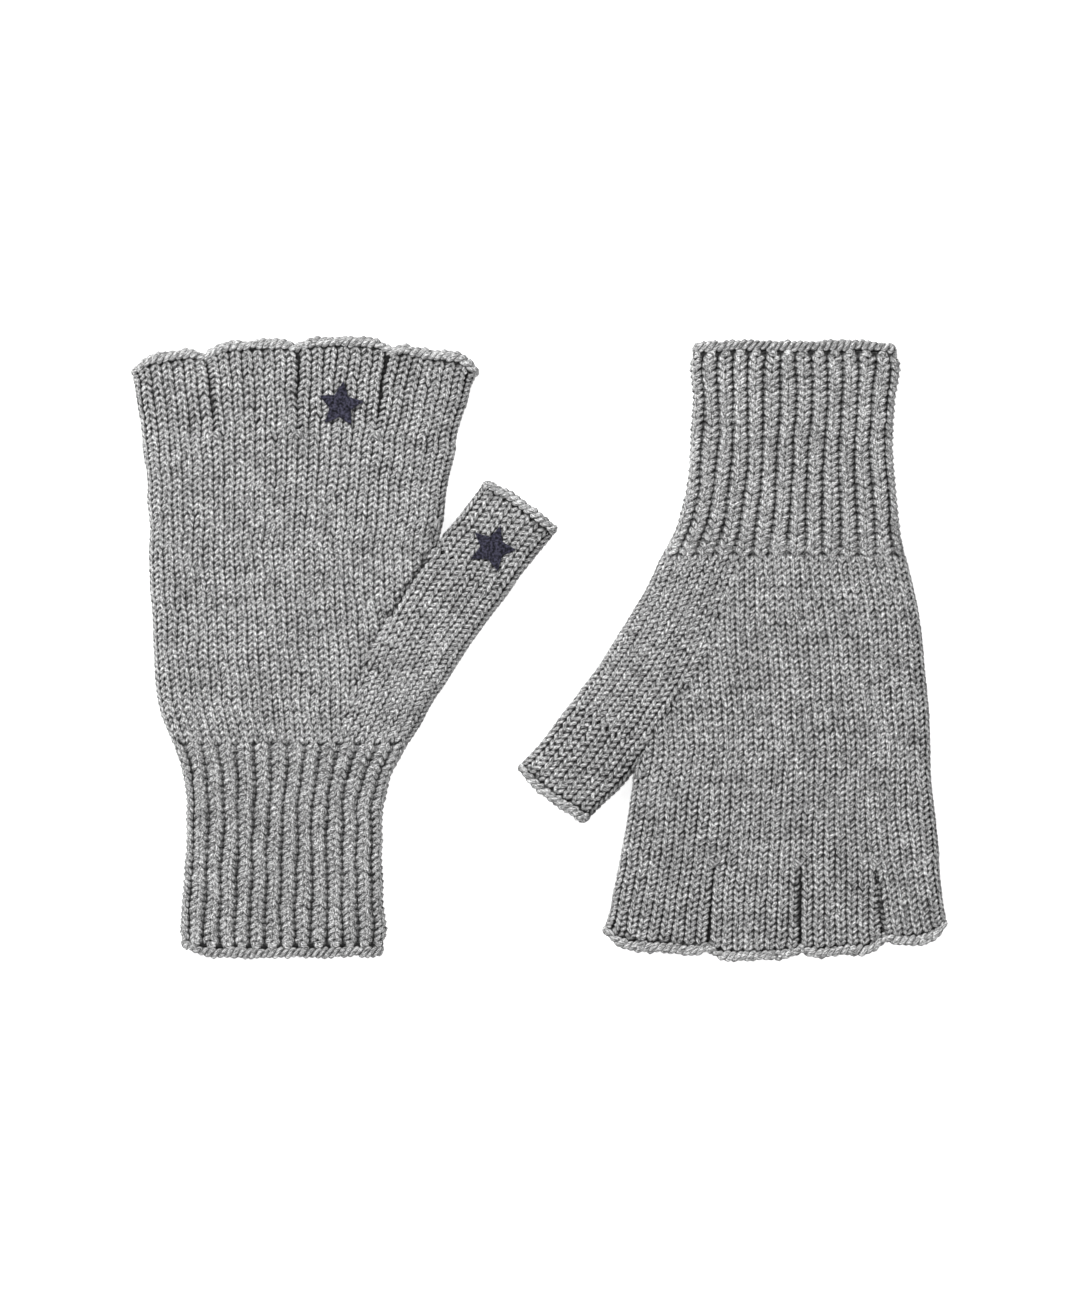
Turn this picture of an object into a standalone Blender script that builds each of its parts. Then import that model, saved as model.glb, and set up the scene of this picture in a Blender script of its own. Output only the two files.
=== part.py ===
"""A pair of knitted fingerless gloves, lying flat and side by side.

Each glove is drawn in its own plane, in millimetres: u runs across the glove, v runs from the
cuff edge to the fingertips, and the thumb is on the +u side. z is up, and 0 is the table.
The left-hand glove lies with its back up. The right-hand glove lies palm up and turned end for
end, so the pair is centred on the origin. Every knitted section is a flattened open tube.
"""
import math

import bmesh
import bpy
from mathutils import Vector

MM = 0.001

# Driving dimensions, in millimetres.
GLOVE_CENTRE_U = 76.8          # from the pair's centre to the middle of a cuff
GLOVE_CENTRE_V = 92.8          # from the pair's centre to a cuff edge
THICKNESS = 10.0               # two layers of loose knit and the air between them
WALL = 2.0                     # one layer of knit
GAP = 0.3                      # between touching sections
SLIT_GAPS = 1.0, 2.6           # between neighbouring finger stubs, at their roots and tips
SIDE_STEPS = 6                 # facets round each folded side of a tube

EDGE_HEIGHT = 3.6              # rolled cast-off edge
EDGE_LIFT = 0.4                # how far an edge stands above its tube
EDGE_WALL = 2.6
EDGE_ROUND = 0.6

CUFF_TOP = 64.5                # where the rib ends and the hand begins
RIB_COUNT = 28                 # ribs all round the cuff
RIB_DEPTH = 0.6
KNUCKLE_LINE = 157.5           # where the fingers branch off
FINGER_TOP = 184.0             # height at which the slit positions below are given

# Left and right side of the cuff, from the hand down to the edge: (v, left u, right u).
CUFF_SIDES = (
    (64.5, -33.2, 38.6),
    (56.0, -29.8, 34.2),
    (48.0, -28.6, 31.0),
    (34.0, -28.4, 29.8),
    (18.0, -29.8, 30.0),
    (EDGE_HEIGHT + GAP, -30.6, 30.6),
)
# Sides of the hand. Below the thumb crotch the right side lies past the thumb join.
HAND_SIDES = (
    (CUFF_TOP + GAP, -33.2, 30.0),
    (74.0, -36.6, 47.0),
    (84.0, -38.2, 47.0),
    (100.0, -39.2, 47.0),
    (118.0, -39.8, 47.0),
    (123.5, -40.0, 45.6),
    (129.6, -40.3, 48.9),
    (134.0, -40.5, 48.6),
    (146.0, -41.2, 50.6),
    (KNUCKLE_LINE, -42.2, 53.0),
)

# The thumb: its crotch, its lean from the finger direction, and the line it joins the hand on.
THUMB_CROTCH = Vector((50.4, 129.6))
THUMB_LEAN = math.radians(35.0)
THUMB_HINGE = -7.5             # along the thumb, from the crotch
THUMB_MOUTH = 17.4
THUMB_JOIN = ((46.1, 123.5), (23.4, 83.1), (16.0, CUFF_TOP))

# The three slits between the fingers: (u at the knuckle line, u at FINGER_TOP).
SLITS = {
    "left": ((-19.8, -23.1), (5.0, 4.5), (28.3, 32.1)),
    "right": ((-24.2, -27.6), (-1.3, -1.5), (24.4, 25.7)),
}
OUTER_SIDES = ((-42.2, -45.2), (53.0, 59.4))
# Fingertips: (name, v at the left corner, v at the right corner).
FINGERS = (
    ("little", 179.6, 182.6),
    ("ring", 184.2, 185.4),
    ("middle", 186.0, 185.6),
    ("index", 184.0, 180.4),
)

STAR_RADIUS = 7.2
STAR_WAIST = 3.6               # inner corners of a star, which has broad arms
STAR_THICKNESS = 0.6
DARN_LENGTH = 5.0
DARN_RADIUS = 0.6

KNIT_GREY = (0.33, 0.33, 0.335)
RIB_GREY = (0.28, 0.28, 0.285)
EDGE_GREY = (0.30, 0.30, 0.305)
DARN_GREY = (0.42, 0.42, 0.425)
STAR_NAVY = (0.040, 0.039, 0.060)


def clear_scene():
    for old in list(bpy.data.objects):
        bpy.data.objects.remove(old, do_unlink=True)


def new_collection(name):
    collection = bpy.data.collections.new(name)
    bpy.context.scene.collection.children.link(collection)
    return collection


def wool(name, colour, roughness=0.95):
    """A dull textile material."""
    material = bpy.data.materials.new(name)
    material.use_nodes = True
    shader = material.node_tree.nodes["Principled BSDF"]
    shader.inputs["Base Color"].default_value = (*colour, 1.0)
    shader.inputs["Roughness"].default_value = roughness
    shader.inputs["Metallic"].default_value = 0.0
    return material


def across(left, right):
    """Unit vector from a tube's left side to its right side, in the glove's plane."""
    return (right - left).normalized()


def flat_ring(left, right, low, high, steps):
    """Flattened tube section: two level faces and two half-round folded sides."""
    direction = across(left, right)
    radius = (high - low) / 2
    middle = (high + low) / 2
    points = []
    for centre, start in ((left + direction * radius, 90), (right - direction * radius, 270)):
        for step in range(steps + 1):
            angle = math.radians(start + 180 * step / steps)
            place = centre + direction * radius * math.cos(angle)
            points.append(Vector((place.x, place.y, middle + radius * math.sin(angle))))
    return points


def even_ring(left, right, low, high, count, ridge=0.0):
    """The same section with evenly spaced points, and a ridge on two points of every three."""
    direction = across(left, right)
    radius = (high - low) / 2
    middle = (high + low) / 2
    flat = (right - left).length - 2 * radius
    arc = math.pi * radius
    points = []
    for index in range(count):
        run = 2 * (flat + arc) * index / count
        height = ridge if index % 3 else 0.0
        if run < flat:
            place, z = right - direction * (radius + run), high + height
        elif run < flat + arc:
            angle = math.pi / 2 + (run - flat) / radius
            reach = radius + height
            place = left + direction * (radius + reach * math.cos(angle))
            z = middle + reach * math.sin(angle)
        elif run < 2 * flat + arc:
            place, z = left + direction * (radius + run - flat - arc), low - height
        else:
            angle = 3 * math.pi / 2 + (run - 2 * flat - arc) / radius
            reach = radius + height
            place = right - direction * (radius - reach * math.cos(angle))
            z = middle + reach * math.sin(angle)
        points.append(Vector((place.x, place.y, z)))
    return points


def loft_closed(name, rings, pivot, glove, material):
    """One closed body through a closed sequence of rings: outer wall out, inner wall back."""
    mesh = bpy.data.meshes.new(name)
    shape = bmesh.new()
    layers = [[shape.verts.new((point - pivot) * MM) for point in ring] for ring in rings]
    for index, layer in enumerate(layers):
        following = layers[(index + 1) % len(layers)]
        for side in range(len(layer)):
            ahead = (side + 1) % len(layer)
            shape.faces.new((layer[side], following[side], following[ahead], layer[ahead]))
    bmesh.ops.recalc_face_normals(shape, faces=shape.faces)
    shape.to_mesh(mesh)
    shape.free()
    mesh.materials.append(material)
    mesh.shade_smooth()
    mesh.set_sharp_from_angle(angle=math.radians(40))
    return add_piece(name, mesh, pivot, glove)


def add_piece(name, data, pivot, glove):
    """Put a piece on its glove, with its origin on the pivot its body turns on."""
    piece = bpy.data.objects.new(name, data)
    glove["parts"].objects.link(piece)
    piece.parent = glove["root"]
    piece.location = pivot * MM
    return piece


def open_tube(name, stations, pivot, glove, material):
    """A knitted tube, open at both ends, through (left, right) stations."""
    outer, inner = [], []
    for left, right in stations:
        inset = across(left, right) * WALL
        outer.append(flat_ring(left, right, 0, THICKNESS, SIDE_STEPS))
        inner.append(flat_ring(left + inset, right - inset, WALL, THICKNESS - WALL, SIDE_STEPS))
    return loft_closed(name, outer + inner[::-1], pivot, glove, material)


def rolled_edge(name, start, end, pivot, glove, material):
    """The thicker rolled rim at a mouth, between two (left, right) stations."""
    outer, inner = [], []
    for share, inset in ((0.0, EDGE_ROUND), (0.25, 0.0), (0.75, 0.0), (1.0, EDGE_ROUND)):
        left = start[0].lerp(end[0], share)
        right = start[1].lerp(end[1], share)
        direction = across(left, right)
        top = THICKNESS + EDGE_LIFT - inset
        outer.append(flat_ring(left + direction * inset, right - direction * inset,
                               inset, top, SIDE_STEPS))
        wall = EDGE_WALL
        inner.append(flat_ring(left + direction * wall, right - direction * wall,
                               wall, THICKNESS + EDGE_LIFT - wall, SIDE_STEPS))
    return loft_closed(name, outer + inner[::-1], pivot, glove, material)


def prism_cutter(name, outline, glove):
    """An upright prism over a flat outline, through the whole thickness of the glove."""
    curve = bpy.data.curves.new(name, "CURVE")
    curve.dimensions = "2D"
    curve.fill_mode = "BOTH"
    curve.extrude = THICKNESS * MM
    spline = curve.splines.new("POLY")
    spline.points.add(len(outline) - 1)
    for point, (u, v) in zip(spline.points, outline):
        point.co = (u * MM, v * MM, 0, 1)
    spline.use_cyclic_u = True
    guide = bpy.data.objects.new(name + "_outline", curve)
    glove["cutters"].objects.link(guide)
    evaluated = guide.evaluated_get(bpy.context.evaluated_depsgraph_get())
    mesh = bpy.data.meshes.new_from_object(evaluated)
    bpy.data.objects.remove(guide, do_unlink=True)
    shape = bmesh.new()
    shape.from_mesh(mesh)
    bmesh.ops.remove_doubles(shape, verts=shape.verts, dist=1e-6)
    bmesh.ops.recalc_face_normals(shape, faces=shape.faces)
    shape.to_mesh(mesh)
    shape.free()
    cutter = bpy.data.objects.new(name, mesh)
    glove["cutters"].objects.link(cutter)
    cutter.parent = glove["root"]
    cutter.location = (0, 0, THICKNESS / 2 * MM)
    cutter.hide_render = True
    cutter.display_type = "WIRE"
    return cutter


def cut(piece, cutter):
    modifier = piece.modifiers.new("cut_" + cutter.name, "BOOLEAN")
    modifier.operation = "DIFFERENCE"
    modifier.solver = "EXACT"
    modifier.object = cutter


def thumb_point(along, aside):
    """A point measured along the thumb from its crotch, and aside from its inner side."""
    ahead = Vector((math.sin(THUMB_LEAN), math.cos(THUMB_LEAN)))
    outward = Vector((math.cos(THUMB_LEAN), -math.sin(THUMB_LEAN)))
    return THUMB_CROTCH + ahead * along + outward * aside


def slit_point(slit, v):
    """Middle of a slit between two fingers at height v."""
    low, high = slit
    share = (v - KNUCKLE_LINE) / (FINGER_TOP - KNUCKLE_LINE)
    return Vector((low + (high - low) * share, v))


def half_gap(v):
    """Half the clearance between two finger stubs, which widens to let them fold up together."""
    root, tip = SLIT_GAPS
    share = (v - KNUCKLE_LINE) / (FINGER_TOP - KNUCKLE_LINE)
    return Vector(((root + (tip - root) * share) / 2, 0))


def slit_lean(slit):
    return (slit[1] - slit[0]) / (FINGER_TOP - KNUCKLE_LINE)


def knuckle_lean(glove, index):
    """Slope of a finger's hinge line: square to the slit on an outer finger, else level."""
    slits = SLITS[glove["side"]]
    if index == 0:
        return -slit_lean(slits[0])
    if index == 3:
        return -slit_lean(slits[2])
    return 0.0


def finger_anchor(glove, index):
    """The point that a finger's hinge line passes through, at the slit next to it."""
    slits = SLITS[glove["side"]]
    slit = slits[min(index, 2)]
    return Vector((slit[0], KNUCKLE_LINE))


def finger_sides(glove, index, left_v, right_v):
    """Left and right side of a finger at the given heights."""
    slits = SLITS[glove["side"]]
    left = slit_point(slits[index - 1], left_v) + half_gap(left_v) if index else \
        slit_point(OUTER_SIDES[0], left_v)
    right = slit_point(slits[index], right_v) - half_gap(right_v) if index < 3 else \
        slit_point(OUTER_SIDES[1], right_v)
    return left, right


def make_cuff(glove):
    """The ribbed cuff and its rolled start edge, hinged to the hand at the wrist."""
    side = glove["side"]
    pivot = Vector((0, CUFF_TOP + GAP / 2, THICKNESS))
    outer, inner = [], []
    for v, left_u, right_u in CUFF_SIDES:
        left, right = Vector((left_u, v)), Vector((right_u, v))
        ridge_inset = across(left, right) * RIB_DEPTH
        wall_inset = across(left, right) * WALL
        outer.append(even_ring(left + ridge_inset, right - ridge_inset, RIB_DEPTH,
                               THICKNESS - RIB_DEPTH, 3 * RIB_COUNT, RIB_DEPTH))
        inner.append(even_ring(left + wall_inset, right - wall_inset, WALL,
                               THICKNESS - WALL, 3 * RIB_COUNT))
    loft_closed(f"{side}_cuff", outer + inner[::-1], pivot, glove, glove["rib"])
    start = Vector((-30.8, EDGE_HEIGHT)), Vector((30.8, EDGE_HEIGHT))
    end = Vector((-30.0, 0)), Vector((30.0, 0))
    rolled_edge(f"{side}_cuff_edge", start, end, pivot, glove, glove["edge"])


def make_hand(glove):
    """The hand: a wide tube, open at the wrist, at the knuckles and along the thumb join."""
    side = glove["side"]
    stations = [(Vector((left, v)), Vector((right, v))) for v, left, right in HAND_SIDES]
    hand = open_tube(f"{side}_hand", stations, Vector((0, 0, 0)), glove, glove["knit"])
    join = [(u - GAP / 2, v) for u, v in THUMB_JOIN]
    far_side, below = 60.0, CUFF_TOP - 5
    cut(hand, prism_cutter(f"{side}_hand_cutter",
                           [*join, (join[-1][0], below), (far_side, below),
                            (far_side, join[0][1])], glove))
    for index, reach in ((0, -60.0), (3, 70.0)):
        anchor = finger_anchor(glove, index)
        end = anchor + Vector((reach, reach * knuckle_lean(glove, index)))
        above = KNUCKLE_LINE + 5
        cut(hand, prism_cutter(f"{side}_knuckle_cutter_{index}",
                               [anchor, end, (end.x, above), (anchor.x, above)], glove))


def make_thumb_gusset(glove):
    """The strip from the wrist to the thumb crotch, open towards the hand along the join."""
    side = glove["side"]
    stations = [
        (Vector((7.0, CUFF_TOP + GAP)), Vector((38.8, CUFF_TOP + GAP))),
        (Vector((15.0, 82.5)), thumb_point(-44, 26.5)),
        (Vector((25.0, 99.0)), thumb_point(-32, 26.0)),
        (thumb_point(-20, -4), thumb_point(-20, 25.7)),
        (thumb_point(THUMB_HINGE - GAP / 2, -8), thumb_point(THUMB_HINGE - GAP / 2, 25.9)),
    ]
    gusset = open_tube(f"{side}_thumb_gusset", stations, Vector((0, 0, 0)), glove, glove["knit"])
    join = [Vector((u + GAP / 2, v)) for u, v in THUMB_JOIN]
    past_hinge = join[0] + (thumb_point(1, 0) - thumb_point(0, 0)) * 12
    far_side, below = -12.0, CUFF_TOP - 5
    cut(gusset, prism_cutter(f"{side}_gusset_cutter",
                             [past_hinge, *join, (join[-1].x, below), (far_side, below),
                              (far_side, past_hinge.y)], glove))


def make_thumb(glove):
    """The free end of the thumb tube and its rolled edge."""
    side = glove["side"]
    hinge = thumb_point(THUMB_HINGE, 13)
    pivot = Vector((hinge.x, hinge.y, THICKNESS))
    edge_start = THUMB_MOUTH - EDGE_HEIGHT
    stations = [(thumb_point(along, inner), thumb_point(along, outer)) for along, inner, outer in (
        (THUMB_HINGE + GAP / 2, 0.4, 25.9), (0.0, 0.4, 26.2), (edge_start - GAP, 0.7, 27.4))]
    open_tube(f"{side}_thumb_stub", stations, pivot, glove, glove["knit"])
    rolled_edge(f"{side}_thumb_edge",
                (thumb_point(edge_start, 0.6), thumb_point(edge_start, 27.6)),
                (thumb_point(THUMB_MOUTH, 0.8), thumb_point(THUMB_MOUTH, 27.8)),
                pivot, glove, glove["edge"])


def make_finger(glove, index):
    """One finger stub and the rolled edge of its mouth."""
    name, left_tip, right_tip = FINGERS[index]
    name = f"{glove['side']}_{name}"
    anchor, lean = finger_anchor(glove, index), knuckle_lean(glove, index)
    pivot = Vector((anchor.x, anchor.y + GAP / 2, THICKNESS))
    sides = finger_sides(glove, index, KNUCKLE_LINE, KNUCKLE_LINE)
    base_v = [KNUCKLE_LINE + GAP + (side.x - anchor.x) * lean for side in sides]
    base = finger_sides(glove, index, *base_v)
    shoulder = EDGE_HEIGHT + GAP
    open_tube(f"{name}_stub",
              [base, finger_sides(glove, index, left_tip - shoulder, right_tip - shoulder)],
              pivot, glove, glove["knit"])
    rolled_edge(f"{name}_edge",
                finger_sides(glove, index, left_tip - EDGE_HEIGHT, right_tip - EDGE_HEIGHT),
                finger_sides(glove, index, left_tip, right_tip),
                pivot, glove, glove["edge"])


def make_darn(name, centre, turn, glove):
    """A short arched end of darning yarn lying on a crotch."""
    curve = bpy.data.curves.new(name, "CURVE")
    curve.dimensions = "3D"
    curve.bevel_depth = DARN_RADIUS * MM
    curve.bevel_resolution = 1
    curve.use_fill_caps = True
    spline = curve.splines.new("POLY")
    steps = 6
    spline.points.add(steps)
    for step, point in enumerate(spline.points):
        share = step / steps - 0.5
        point.co = (DARN_LENGTH * share * MM, -4.0 * share * share * MM, 0, 1)
    curve.materials.append(glove["darn"])
    height = THICKNESS + GAP + DARN_RADIUS
    darn = add_piece(name, curve, Vector((centre[0], centre[1], height)), glove)
    darn.rotation_euler.z = turn


def make_darns(glove):
    side = glove["side"]
    for number, slit in enumerate(SLITS[side], 1):
        make_darn(f"{side}_crotch_darn_{number}", (slit[0], KNUCKLE_LINE - 2.0), 0.0, glove)
    crotch = thumb_point(-2.0, -3.5)
    make_darn(f"{side}_thumb_darn", crotch, -THUMB_LEAN, glove)


def make_star(name, centre, turn, pivot, glove):
    """A flat five-pointed star lying on the knit."""
    curve = bpy.data.curves.new(name, "CURVE")
    curve.dimensions = "2D"
    curve.fill_mode = "BOTH"
    curve.extrude = STAR_THICKNESS / 2 * MM
    spline = curve.splines.new("POLY")
    spline.points.add(9)
    for corner, point in enumerate(spline.points):
        radius = STAR_WAIST if corner % 2 else STAR_RADIUS
        angle = math.radians(90 + 36 * corner) + turn
        place = centre + radius * Vector((math.cos(angle), math.sin(angle)))
        point.co = ((place.x - pivot.x) * MM, (place.y - pivot.y) * MM, 0, 1)
    spline.use_cyclic_u = True
    curve.materials.append(glove["star"])
    height = THICKNESS + GAP + STAR_THICKNESS / 2
    add_piece(name, curve, Vector((pivot.x, pivot.y, height)), glove)


def make_stars(glove):
    finger_pivot = finger_anchor(glove, 2) + Vector((0, GAP / 2))
    make_star("star_finger", Vector((17.6, 165.9)), math.radians(-8), finger_pivot, glove)
    thumb_pivot = thumb_point(THUMB_HINGE, 13)
    make_star("star_thumb", Vector((63.1, 123.3)), math.radians(-24), thumb_pivot, glove)


def new_glove(side, turned, parts, cutters):
    """An empty at the middle of the cuff edge, which carries every piece of one glove."""
    root = bpy.data.objects.new(f"{side}_glove", None)
    parts.objects.link(root)
    root.location = Vector((-GLOVE_CENTRE_U, -GLOVE_CENTRE_V, 0)) * MM
    if turned:
        root.location = -root.location
        root.rotation_euler.z = math.pi
    bpy.context.view_layer.update()
    return {
        "side": side, "root": root, "parts": parts, "cutters": cutters,
        "knit": wool(f"{side} jersey knit", KNIT_GREY),
        "rib": wool(f"{side} rib knit", RIB_GREY),
        "edge": wool(f"{side} cast-off edge", EDGE_GREY),
        "darn": wool(f"{side} darning yarn", DARN_GREY),
        "star": wool(f"{side} star felt", STAR_NAVY, roughness=0.9),
    }


def make_glove(glove):
    make_cuff(glove)
    make_hand(glove)
    make_thumb_gusset(glove)
    make_thumb(glove)
    for index in range(len(FINGERS)):
        make_finger(glove, index)
    make_darns(glove)


def main():
    clear_scene()
    parts = new_collection("fingerless_gloves")
    cutters = new_collection("fingerless_gloves_cutters")
    left = new_glove("left", False, parts, cutters)
    right = new_glove("right", True, parts, cutters)
    make_glove(left)
    make_glove(right)
    make_stars(left)


main()
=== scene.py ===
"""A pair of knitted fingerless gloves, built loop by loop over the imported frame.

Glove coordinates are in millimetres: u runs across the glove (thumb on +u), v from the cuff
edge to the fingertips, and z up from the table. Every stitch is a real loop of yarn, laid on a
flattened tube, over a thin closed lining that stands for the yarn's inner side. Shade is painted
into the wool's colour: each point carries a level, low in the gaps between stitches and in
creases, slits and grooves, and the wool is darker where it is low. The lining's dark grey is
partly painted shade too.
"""
import math

import bpy
import numpy as np
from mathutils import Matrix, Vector


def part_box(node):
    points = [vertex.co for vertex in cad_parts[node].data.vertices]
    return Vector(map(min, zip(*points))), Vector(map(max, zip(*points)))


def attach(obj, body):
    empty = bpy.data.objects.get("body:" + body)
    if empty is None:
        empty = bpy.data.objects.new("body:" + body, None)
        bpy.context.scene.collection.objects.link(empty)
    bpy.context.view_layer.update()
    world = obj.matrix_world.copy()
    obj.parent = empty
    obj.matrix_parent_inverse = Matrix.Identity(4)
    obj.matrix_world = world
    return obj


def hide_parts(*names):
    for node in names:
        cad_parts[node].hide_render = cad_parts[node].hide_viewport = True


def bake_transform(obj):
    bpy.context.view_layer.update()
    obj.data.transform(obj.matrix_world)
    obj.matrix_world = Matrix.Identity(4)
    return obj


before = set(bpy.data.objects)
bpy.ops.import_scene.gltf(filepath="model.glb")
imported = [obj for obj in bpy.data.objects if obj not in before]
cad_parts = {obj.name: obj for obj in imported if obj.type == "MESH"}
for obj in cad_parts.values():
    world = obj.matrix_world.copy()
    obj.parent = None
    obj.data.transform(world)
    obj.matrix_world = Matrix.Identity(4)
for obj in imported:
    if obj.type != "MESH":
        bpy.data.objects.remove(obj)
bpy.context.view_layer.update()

MM = 0.001

# The yarn's middle surface in a flattened tube: radius of the folded sides, inset from the
# outline, and height of the middle of the glove.
FOLD = 3.7
INSET = 1.3
MIDDLE = 5.0
QUARTER = math.pi / 2 * FOLD

CUFF_TOP = 64.65               # where the rib ends and the hand begins
HAND_FOOT = 64.8               # lower and upper end of the hand's knitting
HAND_TOP = 157.5
KNUCKLE_LINE = 157.65          # where the fingers begin
FINGER_TOP = 184.0             # height at which the fingertips' widths are given
CROTCH = np.array((50.4, 129.6))
LEAN = math.radians(35.0)      # the thumb's, from the finger direction
AHEAD = np.array((math.sin(LEAN), math.cos(LEAN)))
ASIDE = np.array((math.cos(LEAN), -math.sin(LEAN)))
THUMB_HINGE = -7.5             # along the thumb, from the crotch
# Inner and outer corner of the thumb's mouth, and its inner side at the hinge and the crotch.
THUMB_MOUTH = {"left": ((18.4, 0.3), (19.9, 27.3)), "right": ((21.6, 0.6), (18.8, 27.6))}
THUMB_INNER = {"left": (-0.6, -0.4, 0.1), "right": (-2.8, -2.3, -0.2)}
# The line on which the thumb joins the hand, from the cuff to the crotch: heights, and u there.
JOIN_V = (64.5, 83.1, 92.0, 99.6, 107.0, 116.0, 123.5)
JOIN_U = (16.0, 22.6, 26.4, 30.2, 35.0, 41.4, 46.1)
JOIN_TOP = JOIN_V[-1]
# The slits between the fingers, and the outer sides beyond them: u at HAND_TOP and FINGER_TOP.
SLITS = {
    "left": ((-19.8, -23.1), (5.0, 4.5), (28.3, 32.1)),
    "right": ((-24.2, -27.6), (-1.3, -1.5), (24.4, 25.7)),
}
OUTER_SIDES = {"left": ((-42.9, -46.2), (53.2, 60.6)), "right": ((-44.5, -47.0), (53.0, 58.5))}
# Each finger: name, heights of its mouth's corners, and how far those corners are rounded off.
FINGERS = (("little", {"left": (181.2, 184.1), "right": (180.9, 182.9)}, (5.0, 3.0)),
           ("ring", {"left": (184.8, 187.2), "right": (184.4, 186.2)}, (4.2, 2.8)),
           ("middle", {"left": (187.0, 186.6), "right": (186.6, 186.6)}, (2.2, 3.4)),
           ("index", {"left": (185.4, 181.0), "right": (185.8, 182.0)}, (2.8, 4.6)))
# (v, left glove's outer u, right glove's outer u, thumb side u); below the thumb crotch the
# thumb side is hidden under the gusset.
HAND_SIDES = ((HAND_FOOT, -33.8, -34.4, 48.0), (74.0, -37.0, -36.6, 49.0),
              (84.0, -38.6, -38.6, 49.6), (100.0, -39.6, -40.2, 49.0),
              (118.0, -40.4, -41.4, 47.6), (JOIN_TOP, -40.5, -41.8, 47.4),
              (129.6, -40.6, -42.1, 48.6), (134.0, -40.9, -42.2, 49.1),
              (146.0, -41.6, -43.1, 50.7), (HAND_TOP, -42.6, -44.4, 52.8))
# (v, outer and thumb side u of the left glove, outer and thumb side u of the right glove)
CUFF_SIDES = ((0.0, -30.2, 30.2, -30.4, 30.2), (3.6, -31.3, 31.3, -31.9, 31.6),
              (18.0, -30.8, 31.2, -31.5, 31.3), (34.0, -29.9, 30.8, -30.8, 32.0),
              (48.0, -29.7, 31.6, -31.7, 34.0), (56.0, -30.8, 34.0, -32.7, 36.2),
              (HAND_FOOT, -33.8, 38.8, -34.4, 40.0))

# The yarn: half its width and height, points round it, and the length of one twist.
YARN_WIDE = 0.69
YARN_TALL = 0.60
AROUND = 6
TWIST = 8.0
# Material slots of a knitted piece.
YARN, LINING = 0, 1

# A plain stitch: half its height in courses, how far its legs lean and draw together in wales,
# its relief in mm, and the points along it.
REACH = 0.82
SLANT = 0.27
DRAW = 0.032
DEPTH = 0.58
STITCH_STEPS = 10
UNEVEN = 0.05, 0.045           # of stitches, up in courses and sideways in wales
HAND_ROWS, HAND_WALES = 49, 60
GUSSET_ROWS, GUSSET_WALES, GUSSET_PITCH = 32, 10, 3.01
THUMB_ROWS, THUMB_WALES = 12, 18
FINGER_COURSE, FINGER_WALE = 1.9, 3.22
CUFF_ROWS, RIBS = 29, 28
RIB_SHARE = 0.80               # of a rib, taken by its raised wale
KNOT_STEPS = 12                # points along one loop of a rim or one cast-on knot

# A stub's plain knit ends, and its rim is wound, this far below the mouth.
RIM_FOOT = 3.1
RIM_MIDDLE = 1.7
# A rim: half the height and depth of its winding, length of a loop, yarn width, and tone: the
# level of its painted shade.
MOUTH_RIM = dict(height=0.9, rise=0.6, pitch=4.0, wide=0.84, tone=0.55)
CUFF_RIM = dict(height=1.1, rise=0.55, pitch=3.7, wide=0.64, tone=0.45)

STAR_RADIUS = 7.2
STAR_WAIST = 3.6               # inner corners
STAR_THICKNESS = 0.6


# ---------------------------------------------------------------- surfaces

def spline(x, knots, values):
    """Smooth curve through the values at the knots, straight on past both ends."""
    knots = np.asarray(knots, float)
    values = np.asarray(values, float)
    slopes = np.gradient(values, knots, axis=0)
    i = np.clip(np.searchsorted(knots, x) - 1, 0, len(knots) - 2)
    step = (knots[i + 1] - knots[i])[:, None]
    t = (x - knots[i])[:, None] / step
    inside = np.clip(t, 0, 1)
    a, b = values[i], values[i + 1]
    ma, mb = slopes[i] * step, slopes[i + 1] * step
    q, c = inside ** 2, inside ** 3
    at = (2 * c - 3 * q + 1) * a + (c - 2 * q + inside) * ma + (3 * q - 2 * c) * b + (c - q) * mb
    return at + (t - inside) * np.where(t > 1, mb, ma)


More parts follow.
